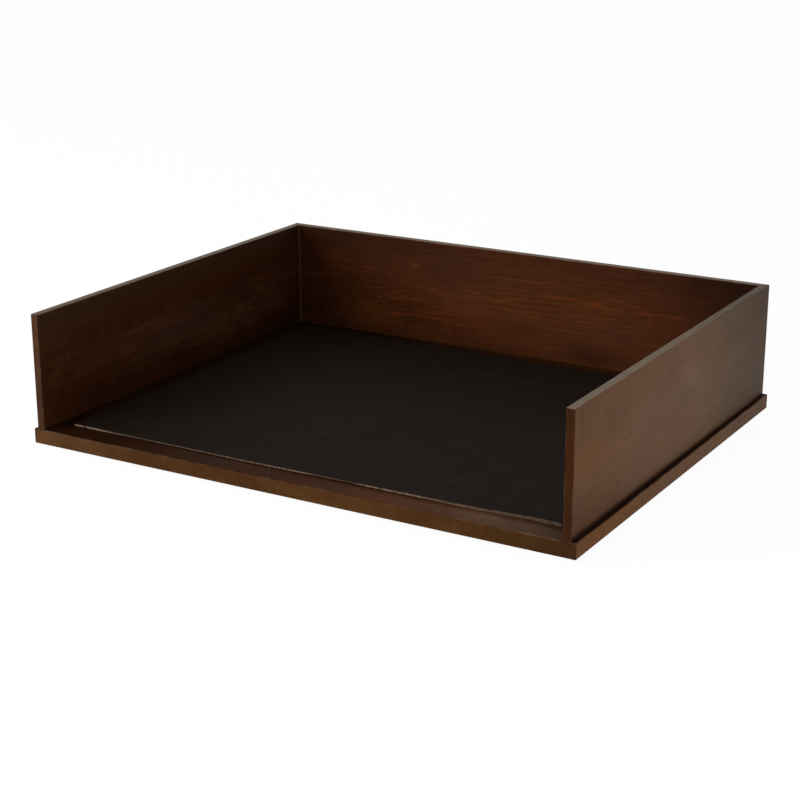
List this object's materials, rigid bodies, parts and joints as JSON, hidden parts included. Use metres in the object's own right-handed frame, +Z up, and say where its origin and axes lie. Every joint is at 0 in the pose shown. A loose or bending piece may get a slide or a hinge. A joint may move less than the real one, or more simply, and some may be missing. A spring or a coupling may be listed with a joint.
{
  "type": "letter tray",
  "caption": "Open-fronted wooden desk tray for letter paper: thin side and back walls stand on a slightly wider base board with a bonded dark liner, soft feet and pins driven from below.",
  "frame": {"origin": "on the surface that the feet stand on, under the middle of the base board", "axes": "+X to the tray's right, along its width; +Y towards its back wall, so the open front faces -Y; +Z up"},
  "size_m": [0.338, 0.269, 0.0782],
  "materials": {
    "stained_wood": "dark brown stain under satin lacquer",
    "liner_cloth": "matt dark brown leathercloth with a pale cut edge",
    "foot_rubber": "matt black",
    "pin_steel": "bright drawn wire, dulled"
  },
  "bodies": {
    "root": {"base_board": "stained_wood", "left_side": "stained_wood", "right_side": "stained_wood", "back_panel": "stained_wood", "liner": "liner_cloth", "foot_front_left": "foot_rubber", "foot_front_right": "foot_rubber", "foot_rear_left": "foot_rubber", "foot_rear_right": "foot_rubber", "left_side_pin_1": "pin_steel", "left_side_pin_2": "pin_steel", "left_side_pin_3": "pin_steel", "left_side_pin_4": "pin_steel", "right_side_pin_1": "pin_steel", "right_side_pin_2": "pin_steel", "right_side_pin_3": "pin_steel", "right_side_pin_4": "pin_steel", "back_panel_pin_1": "pin_steel", "back_panel_pin_2": "pin_steel", "back_panel_pin_3": "pin_steel", "back_panel_pin_4": "pin_steel"}
  },
  "joints": []
}
